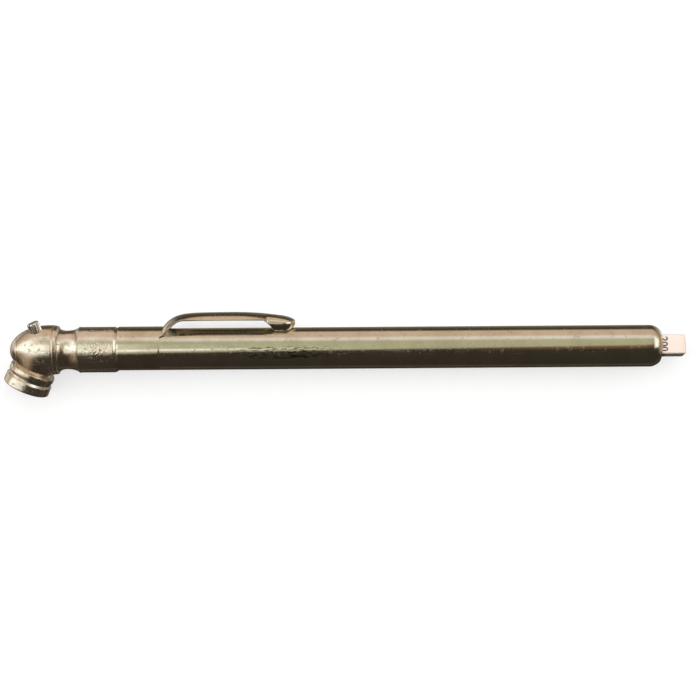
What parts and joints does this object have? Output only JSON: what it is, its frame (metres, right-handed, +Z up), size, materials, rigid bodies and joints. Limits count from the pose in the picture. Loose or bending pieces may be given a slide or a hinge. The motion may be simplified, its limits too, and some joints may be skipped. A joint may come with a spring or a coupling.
{
  "type": "tire pressure gauge",
  "caption": "Pencil-type tire pressure gauge with an angled ball chuck, plated tube, pocket clip and a square scale bar that slides out of the far end.",
  "frame": {"origin": "middle of the bounding box's bottom; the gauge lies on its side", "axes": "+X along the tube towards the scale bar's tip, +Y towards the pocket clip's side, +Z up"},
  "size_m": [0.1552, 0.0193, 0.0114],
  "materials": {
    "plated_casting": "gloss",
    "plated_tube": "polished",
    "plated_sheet": "polished",
    "brass": "satin",
    "spring_steel": "satin",
    "black_rubber": "matte",
    "cup_rubber": "matte",
    "ivory_nylon": "satin"
  },
  "bodies": {
    "gauge": {"head": "plated_casting", "chuck_seal": "black_rubber", "seal_retainer": "brass", "valve_depressor": "brass", "deflator_pin": "plated_casting", "head_gasket": "black_rubber", "barrel": "plated_tube", "bar_guide": "brass", "bar_brake": "spring_steel", "spring_seat": "brass"},
    "piston": {"piston_body": "brass", "piston_cup": "cup_rubber", "cup_washer": "brass", "piston_screw": "brass", "piston_rod": "spring_steel", "main_spring": "spring_steel"},
    "indicator": {"indicator_bar": "ivory_nylon", "bar_foot": "brass"},
    "clip": {"clip_band": "plated_sheet"},
    "clip_spring_arm": {"clip_arm": "plated_sheet"}
  },
  "joints": [
    {"name": "piston_slide", "type": "slide", "parent": "gauge", "child": "piston", "axis": [1, 0, 0], "range_m": [0, 0.048], "deforming": ["main_spring"]},
    {"name": "indicator_slide", "type": "slide", "parent": "gauge", "child": "indicator", "axis": [1, 0, 0], "range_m": [0, 0.048]},
    {"name": "clip_swivel", "type": "hinge", "parent": "gauge", "child": "clip", "pos_m": [-0.04632, 0.00121, 0.00568], "axis": [1, 0, 0], "continuous": true},
    {"name": "clip_flex", "type": "hinge", "parent": "clip", "child": "clip_spring_arm", "pos_m": [-0.04135, 0.00646, 0.00568], "axis": [0, 0, 1], "range_deg": [0, 6], "stiffness_Nm_per_rad": 4}
  ],
  "couplings": [
    {"joint": "indicator_slide", "follows": "piston_slide", "ratio": 1}
  ]
}
